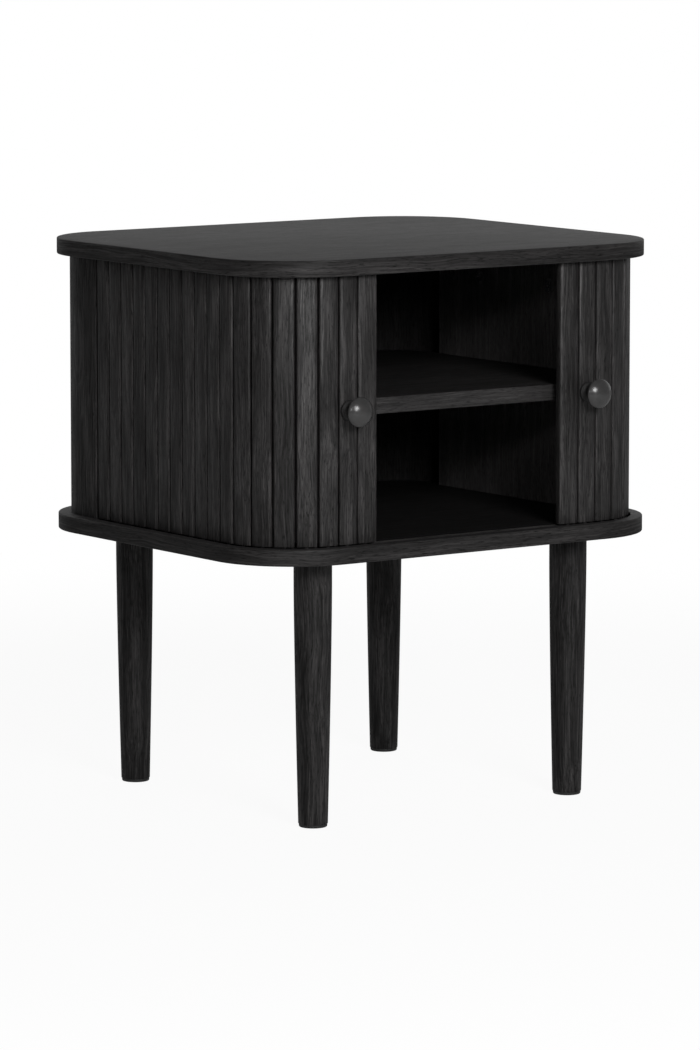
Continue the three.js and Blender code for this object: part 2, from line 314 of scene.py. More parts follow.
def addNode(tree, kind, inputs=None, stops=(), **settings):
    node = tree.nodes.new("ShaderNode" + kind)
    for key, value in settings.items():
        setattr(node, key, value)
    for index, (place, value) in enumerate(stops):  # of a colour ramp
        elements = node.color_ramp.elements
        element = elements[index] if index < 2 else elements.new(place)
        element.position = place
        element.color = value if isinstance(value, tuple) else (value, value, value, 1)
    for key, value in (inputs or {}).items():
        if isinstance(value, bpy.types.NodeSocket):
            tree.links.new(value, node.inputs[key])
        else:
            node.inputs[key].default_value = value
    return node


def newMaterial(name):
    material = bpy.data.materials.new(name)
    material.use_nodes = True
    tree = material.node_tree
    return material, tree, tree.nodes["Principled BSDF"]


oak = {
    "dark": "#131212",
    "body": "#282727",
    "pale": "#434141",
    "fibre": (1.5 * mm, 60 * mm),  # width and length of a fibre streak
    "rings": (26 * mm, 420 * mm),  # growth rings, cut lengthways: long nested arches
    "ringCount": 5,
    "cloud": (60 * mm, 160 * mm),
    "cloudShare": 0.3,
    "ringShare": 0.14,
    "pore": (0.6 * mm, 9 * mm),  # open pores of oak
    "poreColour": "#0e0d0d",
    "poreStops": ((0.36, 1.0), (0.44, 0.0)),
    "poreDepth": 0.12 * mm,
    "bump": 0.5,
    "sway": (80 * mm, 9 * mm),  # the grain wanders sideways: over what length, and how far
    "apart": (7, 5, 9),  # metres between two cuts, for a whole step of tone
    "spread": 0.3,  # how far the streaks reach into the dark and the pale stop
    "roughness": 0.5,
    "roughSpread": 0.06,
    "specular": 0.22,
    "inside": 0.5,  # painted shade: how bright the boards' flat faces stay inside the cabinet, darkened for the shade that falls there
}


def shadedInsideShare(tree, place):  # 1 on board faces inside the line of the tambour, 0 outside it: where painted shade darkens the boards
    parts = addNode(tree, "SeparateXYZ", {0: place})
    reaches = []
    for axis, middle, corner in (("X", 0, cornerX), ("Y", table["shift"], cornerY)):
        centred = addNode(tree, "Math", {0: parts.outputs[axis], 1: middle}, operation="SUBTRACT").outputs[0]
        away = addNode(tree, "Math", {0: centred}, operation="ABSOLUTE").outputs[0]
        away = addNode(tree, "Math", {0: away, 1: corner}, operation="SUBTRACT").outputs[0]
        reaches.append(addNode(tree, "Math", {0: away, 1: 0}, operation="MAXIMUM").outputs[0])
    both = addNode(tree, "CombineXYZ", {"X": reaches[0], "Y": reaches[1]})
    reach = addNode(tree, "VectorMath", {0: both.outputs[0]}, operation="LENGTH").outputs["Value"]
    within = addNode(tree, "Math", {0: reach, 1: flexRadius}, operation="LESS_THAN").outputs[0]
    height, slack = parts.outputs["Z"], 3 * table["seat"]
    above = addNode(tree, "Math", {0: height, 1: bottomTop - slack}, operation="GREATER_THAN").outputs[0]
    below = addNode(tree, "Math", {0: height, 1: topBottom + slack}, operation="LESS_THAN").outputs[0]
    level = addNode(tree, "Math", {0: above, 1: below}, operation="MULTIPLY").outputs[0]
    return addNode(tree, "Math", {0: within, 1: level}, operation="MULTIPLY").outputs[0]


# Oak veneer, stained black and finished with a thin matt lacquer: the open pores stay darker and sunk,
# the early and late wood show as long streaks, and the sheen is broken along the fibres.
def stainedOak(name, along, lift=1.0, strength=1.0, roughness=None, knot=None, paintShadeInside=False, specular=None):
    material, tree, shader = newMaterial(name)
    place = addNode(tree, "TexCoord").outputs["Object"]
    share = shadedInsideShare(tree, place) if paintShadeInside else None

    if knot:
        toKnot = addNode(tree, "VectorMath", {0: place, 1: knot["place"]}, operation="SUBTRACT")
        far = addNode(tree, "VectorMath", {0: toKnot.outputs[0], 1: knot["stretch"]}, operation="MULTIPLY")
        reach = addNode(tree, "VectorMath", {0: far.outputs[0]}, operation="LENGTH").outputs["Value"]
        pull = addNode(tree, "MapRange", {"Value": reach, "From Max": 1, "To Min": knot["pull"], "To Max": 0},
                       interpolation_type="SMOOTHERSTEP").outputs[0]
        push = addNode(tree, "VectorMath", {0: toKnot.outputs[0], "Scale": pull}, operation="SCALE")
        place = addNode(tree, "VectorMath", {0: place, 1: push.outputs[0]}, operation="SUBTRACT").outputs[0]

    # every slat is cut elsewhere from the tree
    own = addNode(tree, "Attribute", attribute_name="tone").outputs["Fac"]
    apart = addNode(tree, "VectorMath", {0: oak["apart"], "Scale": own}, operation="SCALE")
    place = addNode(tree, "VectorMath", {0: place, 1: apart.outputs[0]}, operation="ADD").outputs[0]
    swayLength, swayWidth = oak["sway"]
    sway = addNode(tree, "TexNoise", {"Vector": place, "Scale": 1 / swayLength, "Detail": 1})
    bend = addNode(tree, "VectorMath", {0: sway.outputs["Color"], 1: (0.5, 0.5, 0.5)}, operation="SUBTRACT")
    bend = addNode(tree, "VectorMath", {0: bend.outputs[0], "Scale": swayWidth}, operation="SCALE")
    place = addNode(tree, "VectorMath", {0: place, 1: bend.outputs[0]}, operation="ADD").outputs[0]

    def streaks(size, detail, rough=0.6):
        width, length = size
        scale = [1 / length if axis in along else 1 / width for axis in "xyz"]
        mapped = addNode(tree, "Mapping", {"Vector": place, "Scale": scale}).outputs[0]
        noise = addNode(tree, "TexNoise", {"Vector": mapped, "Scale": 1, "Detail": detail, "Roughness": rough})
        return noise.outputs["Fac"]

    fibre = streaks(oak["fibre"], 3)
    pore = streaks(oak["pore"], 2, 0.5)
    cloudy = addNode(tree, "MapRange", {"Value": streaks(oak["cloud"], 1), "To Min": 0.5 - oak["cloudShare"] / 2,
                                        "To Max": 0.5 + oak["cloudShare"] / 2}).outputs[0]
    turns = 2 * math.pi * oak["ringCount"]
    rings = addNode(tree, "Math", {0: streaks(oak["rings"], 1, 0.3), 1: turns}, operation="MULTIPLY").outputs[0]
    rings = addNode(tree, "Math", {0: rings}, operation="SINE").outputs[0]
    rings = addNode(tree, "MapRange", {"Value": rings, "From Min": -1, "To Min": 0.5 - oak["ringShare"] / 2,
                                       "To Max": 0.5 + oak["ringShare"] / 2}).outputs[0]

    # fibres, rings and clouds lie round a half each, so their sum lies round 1.5
    both = addNode(tree, "Math", {0: fibre, 1: rings}, operation="ADD").outputs[0]
    mixed = addNode(tree, "Math", {0: both, 1: cloudy}, operation="ADD").outputs[0]
    reach = oak["spread"] / strength
    tone = addNode(tree, "MapRange", {"Value": mixed, "From Min": 1.5 - reach, "From Max": 1.5 + reach}).outputs[0]
    tone = addNode(tree, "Math", {0: tone, 1: own}, operation="ADD").outputs[0]
    wood = addNode(tree, "ValToRGB", {"Fac": tone}, [(0.0, colour(oak["dark"])), (0.5, colour(oak["body"])),
                                                     (1.0, colour(oak["pale"]))]).outputs["Color"]

    hollow = addNode(tree, "ValToRGB", {"Fac": pore}, oak["poreStops"]).outputs["Color"]
    deep = addNode(tree, "MixRGB", {"Fac": hollow, "Color1": wood, "Color2": colour(oak["poreColour"])}).outputs[0]
    lifted = addNode(tree, "HueSaturation", {"Color": deep, "Value": lift}).outputs[0]
    level = oak["specular"] if specular is None else specular
    shine = addNode(tree, "MapRange", {"Value": tone, "To Min": 0.5 * level, "To Max": 1.5 * level}).outputs[0]
    # painted shade: inside the cabinet the colour and sheen of the board faces are darkened, for the shade that falls
    # there
    if paintShadeInside:
        paintedShade = addNode(tree, "MapRange", {"Value": share, "To Min": 1, "To Max": oak["inside"]}).outputs[0]
        lifted = addNode(tree, "VectorMath", {0: lifted, "Scale": paintedShade}, operation="SCALE").outputs[0]
        shine = addNode(tree, "Math", {0: shine, 1: paintedShade}, operation="MULTIPLY").outputs[0]
    tree.links.new(shine, shader.inputs["Specular IOR Level"])
    tree.links.new(lifted, shader.inputs["Base Color"])

    base, spread = roughness or oak["roughness"], oak["roughSpread"]
    gloss = addNode(tree, "MapRange", {"Value": fibre, "From Min": 0.3, "From Max": 0.7,
                                       "To Min": base + spread, "To Max": base - spread})
    tree.links.new(gloss.outputs[0], shader.inputs["Roughness"])
    height = addNode(tree, "Math", {0: fibre, 1: hollow}, operation="SUBTRACT").outputs[0]
    bump = addNode(tree, "Bump", {"Height": height, "Distance": oak["poreDepth"], "Strength": oak["bump"]})
    tree.links.new(bump.outputs[0], shader.inputs["Normal"])
    shader.inputs["IOR"].default_value = 1.5
    return material


knotPlace = {  # a knot that the grain of the rear corner boards runs round
    "place": (-234 * mm, 150 * mm, 455 * mm),
    "stretch": (1 / (34 * mm), 1 / (34 * mm), 1 / (70 * mm)),  # one over its reach on each axis
    "pull": 0.75,
}
# flat face of the boards, sanded and lacquered: even and satin, the grain hardly shows
# its faces inside the cabinet get painted shade
oakTop = stainedOak("oak_veneer_flat", "x", strength=0.3, roughness=0.6, paintShadeInside=True, specular=0.3)
# edge band of the boards, stained darker: short streaks and little sheen
oakEdge = stainedOak("oak_edge_band", "xy", lift=0.95, strength=0.8, specular=0.14)
# slats: clear upright streaks under the lacquer, each slat in its own tone
oakSlat = stainedOak("oak_slat_lacquered", "z", lift=1.15)
# bent board outside: wide veneer with strong streaks round a knot
oakRear = stainedOak("oak_bent_board", "z", lift=0.85, strength=1.2, knot=knotPlace, specular=0.18)
# turned legs: strong streaks lengthways, little sheen
oakLeg = stainedOak("oak_turned_leg", "z", lift=0.8, strength=1.2, specular=0.17)
# inside faces have one thin coat, so they are dull; the bent boards' inside faces are a little darker, painted shade,
# and the side panels much paler, painted light where the lamps hardly reach
# painted shade: a darker copy of the bent board's oak for its faces inside the cabinet
oakRearInsideShaded = stainedOak("oak_bent_board_inside_shaded", "z", lift=0.75, strength=0.4, roughness=0.7, specular=0.1)
# painted light: the side panels are lifted far above the other oak, as the lamps hardly reach them
oakInsidePaintedLight = stainedOak("oak_board_inside_painted_light", "z", lift=2.9, strength=0.4, roughness=0.7, specular=0.3)
oakBack = stainedOak("oak_back_board", "z", lift=0.8, strength=0.8, roughness=0.6, specular=0.17)
oakShelf = stainedOak("oak_shelf_face", "x", lift=0.9, strength=0.5, roughness=0.7, specular=0.1)
# front edge of the shelf: lacquered like the slats, so it has more sheen than the shelf's faces, and a paler tone
# that is painted light where it faces the lamps
oakShelfEdgeLit = stainedOak("oak_shelf_edge_painted_light", "x", lift=1.2, strength=0.6)


# Materials without grain: a mottle of two tones that also sets the gloss, and a relief with a size of its own
def mottled(name, size, dark, light, gloss, stops=(0.3, 0.7), detail=2, specular=0.5, metal=0, relief=None):
    material, tree, shader = newMaterial(name)
    place = addNode(tree, "TexCoord").outputs["Object"]
    mottle = addNode(tree, "TexNoise", {"Vector": place, "Scale": 1 / size, "Detail": detail}).outputs["Fac"]
    tones = list(zip(stops, (colour(dark), colour(light))))
    shade = addNode(tree, "ValToRGB", {"Fac": mottle}, tones)
    tree.links.new(shade.outputs["Color"], shader.inputs["Base Color"])
    rough = addNode(tree, "MapRange", {"Value": mottle, "To Min": gloss[0], "To Max": gloss[1]})
    tree.links.new(rough.outputs[0], shader.inputs["Roughness"])
    shader.inputs["Specular IOR Level"].default_value = specular
    shader.inputs["Metallic"].default_value = metal
    if relief:
        grain, depth, strength = relief
        noise = addNode(tree, "TexNoise", {"Vector": place, "Scale": 1 / grain, "Detail": 2})
        bump = addNode(tree, "Bump", {"Height": noise.outputs["Fac"], "Distance": depth, "Strength": strength})
        tree.links.new(bump.outputs[0], shader.inputs["Normal"])
    return material


# Cotton cloth dyed black, in a plain weave of 0.8 mm threads: no shine
cottonCloth = mottled("cotton_backing_cloth", 0.8 * mm, "#0a0a0a", "#1a1919", (0.95, 0.95), specular=0.1,
                      relief=(0.8 * mm, 0.1 * mm, 0.6))

# Turned beech under black semi-gloss lacquer: slight orange peel, soft round highlights
blackLacquer = mottled("black_lacquer_semi_gloss", 9 * mm, "#343434", "#3b3a3a", (0.2, 0.28), specular=0.4,
                       relief=(1.6 * mm, 0.03 * mm, 0.5))

# The foot and neck of the knobs have one coat only, so they stay duller; their darker colour is painted shade from
# the cap above them
shadedLacquer = mottled("black_lacquer_foot_painted_shade", 9 * mm, "#121212", "#1a1919", (0.6, 0.68), specular=0.4,
                      relief=(1.6 * mm, 0.03 * mm, 0.5))

# Steel with a zinc coat: faint grey clouds where the coat grew
zinc = mottled("zinc_plated_steel", 1.2 * mm, "#8d8e90", "#b9babc", (0.28, 0.5), detail=4, metal=1)

# Cast zinc, blackened: the oxide hides most of the metal's shine
blackZinc = mottled("blackened_zinc", 1.2 * mm, "#505051", "#606061", (0.28, 0.5), detail=4, metal=0.3)

# Steel plate in black powder coat: a fine pebbled skin
powder = mottled("powder_coated_steel", 0.9 * mm, "#131313", "#1f1f1f", (0.5, 0.5),
                 relief=(0.9 * mm, 0.05 * mm, 0.6))

# Moulded polyethylene: waxy and nearly black, scuffed
plastic = mottled("moulded_polyethylene", 3 * mm, "#1a1a1a", "#242424", (0.4, 0.65), stops=(0.35, 0.65), detail=4)
print("materials made")


# Camera at the photograph's angle: tilted down a little, with no roll and no lens shift
cameraSetup = {
    "place": (-3.23306, -4.52111, 0.99865),
    "tilt": -7.4765,
    "turn": -35.5322,
    "focalPixels": 5547.5,
    "longSide": 1050,  # of the photograph, in pixels
    "sensor": 36,
    "clipEnd": 100,
}
cameraData = bpy.data.cameras.new("camera")
camera = bpy.data.objects.new("camera", cameraData)
bpy.context.scene.collection.objects.link(camera)
camera.location = cameraSetup["place"]
camera.rotation_euler = (math.radians(90 + cameraSetup["tilt"]), 0, math.radians(cameraSetup["turn"]))
cameraData.sensor_fit = "AUTO"
cameraData.sensor_width = cameraSetup["sensor"]
cameraData.lens = cameraSetup["focalPixels"] * cameraSetup["sensor"] / cameraSetup["longSide"]
cameraData.clip_end = cameraSetup["clipEnd"]
bpy.context.scene.camera = camera


# Boards with rounded corners and softened arrises

def isRimEdge(edge):  # between the flat face and the side of a board
    return len(edge.link_faces) == 2 and abs(edge.link_faces[0].normal.z - edge.link_faces[1].normal.z) > 0.5


def roundedBoard(name, halfX, front, back, low, high, radius, arris):
    board = addBlock(name, (-halfX, front, low), (halfX, back, high))
    openEdit(board)
    pick(board, "edges", isUpright)
    bevelPicked(radius, table["cornerSteps"])
    pick(board, "edges", isRimEdge)
    bevelPicked(arris, table["arrisSteps"])
    closeEdit(board)
    return board


def trackCutter(low, high, halfInner, halfOuter, end):
    bands = []
    for name, half, extra in (("outer", halfOuter, 0), ("inner", halfInner, 1 * mm)):
        band = addBlock(name, (-cornerX - half, -cornerY - half, low - extra),
                        (cornerX + half, end + extra, high + extra))
        openEdit(band)
        pick(band, "edges", lambda e: isUpright(e) and e.verts[0].co.y < 0)
        bevelPicked(half, table["cornerSteps"])
        closeEdit(band)
        bands.append(band)
    cut(bands[0], bands[1])
    return bands[0]


track = {"depth": 6 * mm, "outside": 1.5 * mm, "inside": 4.7 * mm, "endClearance": 3 * mm}


def flexPoint(run):  # along the line where the tambour flexes, from the middle of the front
    if run <= cornerX:
        return -run, -cornerY - flexRadius
    if run <= cornerX + cornerArc:
        turned = (run - cornerX) / flexRadius
        return -cornerX - flexRadius * math.sin(turned), -cornerY - flexRadius * math.cos(turned)
    return -cornerX - flexRadius, -cornerY + run - cornerX - cornerArc


rearGap = 1.5 * mm  # between the last slat and the rear corner board
rearEdgeY = flexPoint(max(leads.values()) + tambour["count"] * tambour["pitch"])[1] + rearGap


def grooved(board, face):
    low, high = face - track["depth"], face + track["depth"]
    inner, outer = flexRadius - track["inside"], bodyRadius + track["outside"]
    cut(board, trackCutter(low, high, inner, outer, rearEdgeY - track["endClearance"]))


def shiftBack(piece):
    piece.location.y += table["shift"]
    settle(piece)


def paintFaces(piece, material, test):
    piece.data.materials.append(material)
    index = len(piece.data.materials) - 1
    for face in piece.data.polygons:
        if test(face):
            face.material_index = index


leg = {
    "insetX": 93.2 * mm,
    "insetY": 60.2 * mm,
    "topRadius": 18.8 * mm,
    "footRadius": 14.5 * mm,
    "straight": 24 * mm,
    "chamfer": 0.6 * mm,
    "topEdge": 0.5 * mm,
    "taperPower": 1.35,
    "plateRadius": 27.5 * mm,
    "plate": 2 * mm,
    "plateRim": 0.5 * mm,
    "plateTopRim": 0.3 * mm,
    "studRadius": 4 * mm,
    "studLength": 11 * mm,
    "studEdge": 0.6 * mm,
    "boreDepth": 10 * mm,
    "glideRadius": 14 * mm,
    "glide": 3 * mm,
    "glideRim": ((1.5 * mm, 0), (0.7 * mm, 0.2 * mm), (0.2 * mm, 0.7 * mm), (0, 1.5 * mm)),
    "glideSides": 48,
    "rings": 26,
    "sides": 72,
}
legX = table["width"] / 2 - leg["insetX"]
legY = table["depth"] / 2 - leg["insetY"]
legSpots = {
    "front_left": (-1, -1),
    "front_right": (1, -1),
    "back_left": (-1, 1),
    "back_right": (1, 1),
}
boreClear = 0.1 * mm

for name, low, high, grooveFace in (("top", topBottom, table["height"], topBottom),
                                    ("bottom", table["floorClearance"], bottomTop, bottomTop)):
    board = roundedBoard(name + "Board", table["width"] / 2, -table["depth"] / 2, table["depth"] / 2,
                         low, high, table["cornerRadius"], table["arris"])
    grooved(board, grooveFace)
    if name == "bottom":
        for sideX, sideY in legSpots.values():
            place = (sideX * legX, sideY * legY, low)
            cut(board, addRod(leg["studRadius"] + boreClear, 2 * leg["boreDepth"], place))
    smooth(board)
    board.data.materials.append(oakEdge)
    paintFaces(board, oakTop, facesUpOrDown)
    shiftBack(board)
    standFor(board, name + "_panel", "black_oak")

rear = {"thickness": 12 * mm, "steps": 24, "edgeRound": 0.8 * mm}
shelf = {"frontSetback": 18.1 * mm, "radius": 44 * mm, "arris": 0.8 * mm}
sidePanelGap = 1.6 * mm  # behind the rear corner board
sideInnerX = bodyX - rear["thickness"] - sidePanelGap - table["board"]
shelfBoard = roundedBoard("shelfBoard", sideInnerX - table["seat"], -bodyY + shelf["frontSetback"],
                          bodyY - table["board"] - table["seat"], middleZ - table["board"] / 2,
                          middleZ + table["board"] / 2, shelf["radius"], shelf["arris"])
shelfBoard.data.materials.append(oakShelfEdgeLit)
paintFaces(shelfBoard, oakShelf, facesUpOrDown)
shiftBack(shelfBoard)
standFor(shelfBoard, "shelf", "black_oak")
print("boards made")


# Bent boards at the rear corners: a strip of section, extruded and spun round the corner

def facesInwards(face):
    inwards = -face.normal.x * face.center.x - face.normal.y * (face.center.y - table["shift"])
    return inwards > 0.5 * face.center.xy.length and abs(face.normal.z) < 0.5


def rearCorner(side, sx):
    deselect()
    inner = bodyX - rear["thickness"]
    tall = topBottom - bottomTop - 2 * table["seat"]
    bpy.ops.mesh.primitive_plane_add(size=1, rotation=(math.pi / 2, 0, 0))
    board = bpy.context.object
    board.name = side + "RearBoard"
    board.scale = (rear["thickness"], tall, 1)
    board.location = ((bodyX + inner) / 2, rearEdgeY, middleZ)
    settle(board)
    openEdit(board, "FACE")
    bpy.ops.mesh.select_all(action="SELECT")
    bpy.ops.mesh.extrude_region_move(TRANSFORM_OT_translate={"value": (0, cornerY - rearEdgeY, 0)})
    pick(board, "faces", lambda f: min(v.co.y for v in f.verts) > cornerY - tiny)
    bpy.ops.mesh.spin(steps=rear["steps"], angle=-math.pi / 2, center=(cornerX, cornerY, 0), axis=(0, 0, 1))
    mendFaces()
    pick(board, "edges", lambda e: isUpright(e) and all(abs(v.co.y - rearEdgeY) < tiny for v in e.verts))
    bevelPicked(rear["edgeRound"], 2)
    closeEdit(board)
    if sx < 0:
        board.scale.x = -1
        settle(board)
        openEdit(board, "FACE")
        closeEdit(board)
    shiftBack(board)
    standFor(board, side + "_rear_corner", "black_oak_slats", oakRear)
    # painted shade on the faces that look into the cabinet
    paintFaces(board, oakRearInsideShaded, facesInwards)


for side, sx in sides.items():
    rearCorner(side, sx)
print("rear boards made")


# Tambour slats: one bar with rounded arrises and a guide pin at both ends, copied to every place

halfSlat = (tambour["pitch"] - tambour["gap"]) / 2


def boreForKnob(piece, x):
    cut(piece, addRod(knob["screwRadius"] + boreClear, 4 * tambour["thickness"], (x, 0, middleZ),
                      (math.pi / 2, 0, 0), sideCount=knob["boreSides"]))


def slatBar(name, leadSide=0, bored=False):
    low = -halfSlat - (tambour["leadExtra"] if leadSide < 0 else 0)
    high = halfSlat + (tambour["leadExtra"] if leadSide > 0 else 0)
    front = -tambour["thickness"]
    bar = addBlock(name, (low, front, slatBottom), (high, 0, slatTop))
    openEdit(bar)
    if leadSide:
        rib = halfSlat + tambour["leadExtra"] - tambour["ribWidth"]
        bpy.ops.mesh.select_all(action="SELECT")
        bpy.ops.mesh.bisect(plane_co=(leadSide * rib, 0, 0), plane_no=(1, 0, 0))
        bpy.ops.mesh.select_mode(type="FACE")
        pick(bar, "faces", lambda f: f.normal.y > 0.9 and f.calc_center_median().x * leadSide > rib)
        bpy.ops.mesh.extrude_region_move(TRANSFORM_OT_translate={"value": (0, tambour["ribDepth"], 0)})
        bpy.ops.mesh.select_mode(type="EDGE")
    for bend, outwards in ((low + tambour["easeWidth"], -1), (high - tambour["easeWidth"], 1)):
        bpy.ops.mesh.select_all(action="SELECT")
        bpy.ops.mesh.bisect(plane_co=(bend, 0, 0), plane_no=(1, 0, 0))
        pick(bar, "edges", lambda e: (isUpright(e) and e.verts[0].co.y < front / 2
                                      and (e.verts[0].co.x - bend) * outwards > tiny))
        bpy.ops.transform.translate(value=(0, tambour["easeDepth"], 0))
    pick(bar, "edges", lambda e: isUpright(e) and e.verts[0].co.y < front + tiny)
    bevelPicked(tambour["easeRound"], 2)
    pick(bar, "edges", lambda e: isUpright(e) and 0.9 * front < e.verts[0].co.y < front / 2)
    bevelPicked(tambour["faceRound"], 4)
    pick(bar, "edges", lambda e: len(e.link_faces) == 2 and e.calc_face_angle(0) > tambour["sharp"])
    bevelPicked(tambour["edgeRound"], 2)
    closeEdit(bar)
    for start, end in ((slatBottom - tambour["pinReach"], slatBottom + tambour["pinRoot"]),
                       (slatTop - tambour["pinRoot"], slatTop + tambour["pinReach"])):
        place = (0, front + tambour["pinSetback"], (start + end) / 2)
        cut(bar, addRod(tambour["pinRadius"], end - start, place, sideCount=tambour["pinSides"]), "UNION")
    if bored:
        boreForKnob(bar, 0)
    smooth(bar)
    bar.data.materials.append(oakSlat)
    return bar


def clothStrip(low, high):
    strip = addBlock("clothStrip", (low, 0, slatBottom + tambour["clothInset"]),
                     (high, tambour["cloth"], slatTop - tambour["clothInset"]))
    openEdit(strip)
    pick(strip, "edges", isUpright)
    bevelPicked(tambour["cloth"] / 3, 1)
    closeEdit(strip)
    strip.data.materials.append(cottonCloth)
    return strip


knob = {
    "slat": 1,
    "capRadius": 14.7 * mm,
    "baseRadius": 10.2 * mm,
    "neckRadius": 6.5 * mm,
    "length": 26 * mm,
    "base": 3 * mm,
    "baseShoulder": 0.6 * mm,
    "neckEnd": 11 * mm,
    "rimStart": 18.5 * mm,
    "rimEnd": 19.5 * mm,
    "edge": 0.4 * mm,
    "flarePower": 1.4,  # how the neck widens into the cap
    "domeInset": 0.6,  # the dome starts this share of a step inside the rim
    "coveSteps": 6,
    "flareSteps": 8,
    "domeSteps": 15,
    "sides": 72,
    "boreDepth": 14 * mm,
    "boreSides": 20,
    "screwRadius": 2 * mm,
    "screwDepth": 12 * mm,
    "screwSides": 32,
    "screwTip": ((0, 0.8 * mm), (0.7 * mm, 0)),
    "headRadius": 4 * mm,
    "head": 2 * mm,
    "headRim": ((0.6 * mm, 0), (0.15 * mm, 0.35 * mm), (0, 0.9 * mm)),
    "slot": (0.9 * mm, 4.4 * mm, 1.2 * mm),  # width, length and depth of the cross
}


def slatPlace(index, sx):  # middle of the slat on the flex line, and its heading
    nearX, nearY = flexPoint(leads[sx] + index * tambour["pitch"])
    farX, farY = flexPoint(leads[sx] + (index + 1) * tambour["pitch"])
    heading = math.atan2(farY - nearY, nearX - farX)
    return -sx * (nearX + farX) / 2, (nearY + farY) / 2, sx * heading


def setSlat(bar, index, sx):
    x, y, heading = slatPlace(index, sx)
    bar.location = (x, y + table["shift"], 0)
    bar.rotation_euler = (0, 0, heading)
    settle(bar)


def setTone(piece, step):  # each slat was cut from another strip, so each has its own tone
    first, second = tambour["toneHash"]
    value = (math.sin(step * first) * second) % 1 - 0.5
    tone = piece.data.attributes.new("tone", "FLOAT", "POINT")
    tone.data.foreach_set("value", [value * tambour["toneRange"]] * len(piece.data.vertices))


def leadCloth(side, sx):  # from the rib of the lead slat to the far edge of the slat with the knob
    start = tambour["ribWidth"] + tambour["glueLine"] - halfSlat - tambour["leadExtra"]
    end = (tambour["leadCount"] - 1) * tambour["pitch"] + halfSlat
    piece = clothStrip(*sorted((sx * start, sx * end)))
    boreForKnob(piece, sx * knob["slat"] * tambour["pitch"])
    piece.name = side + "LeadCloth"
    setSlat(piece, 0, sx)
    standFor(piece, side + "_lead_cloth", "black_cloth")


def addTambour(side, sx):
    plain = slatBar("plainBar")
    lead = slatBar("leadBar", leadSide=-sx)
    bored = slatBar("boredBar", bored=True)
    strip = clothStrip(-halfSlat - tambour["clothReach"], halfSlat + tambour["clothReach"])
    first = tambour["leadCount"] + tambour["turningCount"]
    tail = []
    for index in range(tambour["count"]):
        source = lead if index == 0 else bored if index == knob["slat"] else plain
        bar = duplicate(source, f"{side}Slat{index + 1:02d}")
        setSlat(bar, index, sx)
        setTone(bar, index + tambour["toneStart"][sx])
        if index >= first:
            tail.append(bar)
            continue
        if index >= tambour["leadCount"]:
            backing = duplicate(strip, "backing")
            setSlat(backing, index, sx)
            bar = joinPieces([bar, backing])
        standFor(bar, f"{side}_slat_{index + 1:02d}", "black_oak_slats")
    far = (len(tail) - 1) * tambour["pitch"] + halfSlat
    backing = clothStrip(-far if sx < 0 else -halfSlat, halfSlat if sx < 0 else far)
    setSlat(backing, first, sx)
    tail = joinPieces(tail + [backing])
    tail.name = side + "TailSlats"
    standFor(tail, side + "_tail_slats", "black_oak_slats")
    leadCloth(side, sx)
    discard(plain, lead, bored, strip)


for side, sx in sides.items():
    addTambour(side, sx)
print("tambour made")


# Turned knobs with their screws

def knobProfile():
    bore, base, neck, cap = knob["screwRadius"] + boreClear, knob["baseRadius"], knob["neckRadius"], knob["capRadius"]
    edge, shoulder = knob["edge"], base - knob["baseShoulder"]
    points = [(bore, knob["boreDepth"]), (bore, 0), (base - edge, 0), (base, edge),
              (base, knob["base"] - knob["baseShoulder"]), (shoulder, knob["base"])]
    for step in range(1, knob["coveSteps"] + 1):
        lean = step / knob["coveSteps"] * math.pi / 2
        points.append((shoulder - (shoulder - neck) * math.sin(lean),
                       knob["base"] + (base - neck) * (1 - math.cos(lean))))
    for step in range(knob["flareSteps"] + 1):
        share = step / knob["flareSteps"]
        points.append((neck + (cap - edge - neck) * share ** knob["flarePower"],
                       knob["neckEnd"] + (knob["rimStart"] - knob["neckEnd"]) * share))
    points += [(cap - edge / 4, knob["rimStart"] + 0.375 * edge), (cap, knob["rimStart"] + edge),
               (cap, knob["rimEnd"] - edge), (cap - edge / 4, knob["rimEnd"] - edge / 4)]
    rise = knob["length"] - knob["rimEnd"]
    domeRadius = (cap ** 2 + rise ** 2) / (2 * rise)
    for step in range(knob["domeSteps"], 0, -1):
        lean = math.asin(cap / domeRadius) * step / (knob["domeSteps"] + knob["domeInset"])
        points.append((domeRadius * math.sin(lean), knob["length"] - domeRadius * (1 - math.cos(lean))))
    return points + [(edge, knob["length"])]


def crossCut(piece, width, length, depth, level):
    for sizeX, sizeY in ((length, width), (width, length)):
        cut(piece, addBlock("arm", (-sizeX / 2, -sizeY / 2, level - depth), (sizeX / 2, sizeY / 2, level + depth)))


def screwBody():
    end = knob["head"] + tambour["cloth"] + tambour["thickness"] + knob["screwDepth"]
    screw = turn("screw", rim(knob["headRadius"], 0, knob["headRim"])
                 + [(knob["headRadius"], knob["head"]), (knob["screwRadius"], knob["head"])]
                 + rim(knob["screwRadius"], end, knob["screwTip"], -1), knob["screwSides"])
    crossCut(screw, *knob["slot"], 0)
    return screw


knobBody = turn("knobBody", knobProfile(), knob["sides"])
knobBody.data.materials.append(blackLacquer)
# painted shade: the foot and neck take the darker lacquer
paintFaces(knobBody, shadedLacquer, lambda f: f.center.z < (knob["neckEnd"] + knob["rimStart"]) / 2)
knobScrew = screwBody()
faceY = table["shift"] - bodyY
screwY = faceY + tambour["thickness"] + tambour["cloth"] + knob["head"]
for side, sx in sides.items():
    x = slatPlace(knob["slat"], sx)[0]
    piece = copyTo(knobBody, side + "Knob", (x, faceY - table["seat"], middleZ), (math.pi / 2, 0, 0))
    standFor(piece, side + "_knob", "black_lacquer")
    piece = copyTo(knobScrew, side + "KnobScrew", (x, screwY, middleZ), (math.pi / 2, 0, 0))
    standFor(piece, side + "_knob_screw", "zinc_steel", zinc)
discard(knobBody, knobScrew)
print("knobs made")


